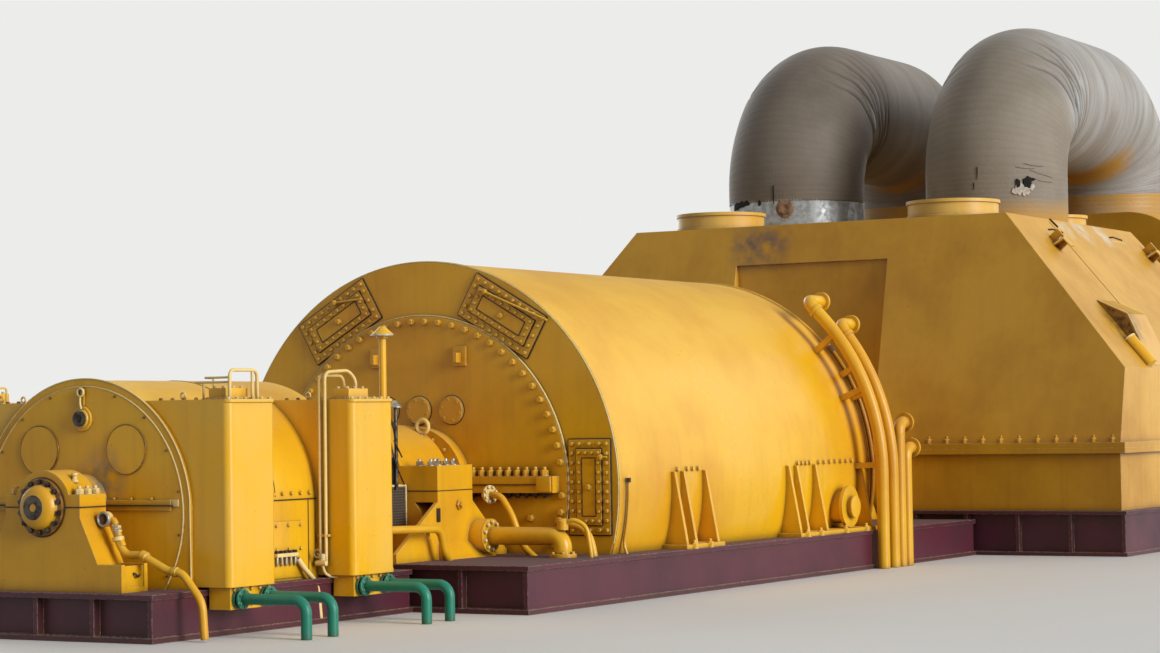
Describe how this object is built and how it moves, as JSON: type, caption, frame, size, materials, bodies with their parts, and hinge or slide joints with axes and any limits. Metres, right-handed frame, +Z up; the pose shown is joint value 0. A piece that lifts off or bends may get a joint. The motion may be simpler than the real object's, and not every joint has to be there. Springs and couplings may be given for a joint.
{
  "type": "steam turbine generator",
  "caption": "Yellow turbine generator set in line: exciter with cooler boxes, generator barrel, faceted turbine hood and two insulated crossover pipes.",
  "frame": {"origin": "on the floor under the middle of the machine's length, below the shaft centre line", "axes": "+X along the shaft from the exciter to the high-pressure casing, +Y across the shaft, +Z up"},
  "size_m": [25.17, 8.16, 6.58],
  "materials": {
    "yellow_paint": "semi-gloss",
    "maroon_paint": "semi-gloss",
    "green_paint": "semi-gloss",
    "lagging_sheet": "matte"
  },
  "bodies": {
    "root": {"exciter_bedplate": "maroon_paint", "generator_bedplate": "maroon_paint", "turbine_bedplate": "maroon_paint", "front_bearing_pedestal": "yellow_paint", "front_bearing_cap": "yellow_paint", "front_bearing_cover": "yellow_paint", "exciter_lower_casing": "yellow_paint", "exciter_upper_casing": "yellow_paint", "exciter_front_cover": "yellow_paint", "cooler_front_left": "yellow_paint", "cooler_front_right": "yellow_paint", "cooler_rear_left": "yellow_paint", "cooler_rear_right": "yellow_paint", "cooling_water_pipes": "green_paint", "exciter_coupling_guard": "yellow_paint", "vent_post": "yellow_paint", "generator_bearing_pedestal": "yellow_paint", "generator_bearing_cap": "yellow_paint", "bearing_drain_pipe": "yellow_paint", "generator_casing": "yellow_paint", "generator_front_ring": "yellow_paint", "generator_front_shield": "yellow_paint", "generator_rear_ring": "yellow_paint", "generator_rear_shield": "yellow_paint", "generator_front_hatches": "yellow_paint", "generator_rear_hatches": "yellow_paint", "generator_feet_left": "yellow_paint", "generator_feet_right": "yellow_paint", "ring_pipe_front": "yellow_paint", "ring_pipe_rear": "yellow_paint", "riser_pipes": "yellow_paint", "main_coupling_guard": "yellow_paint", "main_bearing_pedestal": "yellow_paint", "main_bearing_cap": "yellow_paint", "low_pressure_lower_casing": "yellow_paint", "low_pressure_hood": "yellow_paint", "relief_covers": "yellow_paint", "hood_lifting_lugs": "yellow_paint", "crossover_pipe_left": "lagging_sheet", "crossover_pipe_right": "lagging_sheet", "middle_bearing_pedestal": "yellow_paint", "high_pressure_lower_casing": "yellow_paint", "high_pressure_upper_casing": "yellow_paint", "end_bearing_pedestal": "yellow_paint", "end_bearing_cap": "yellow_paint"}
  },
  "joints": []
}
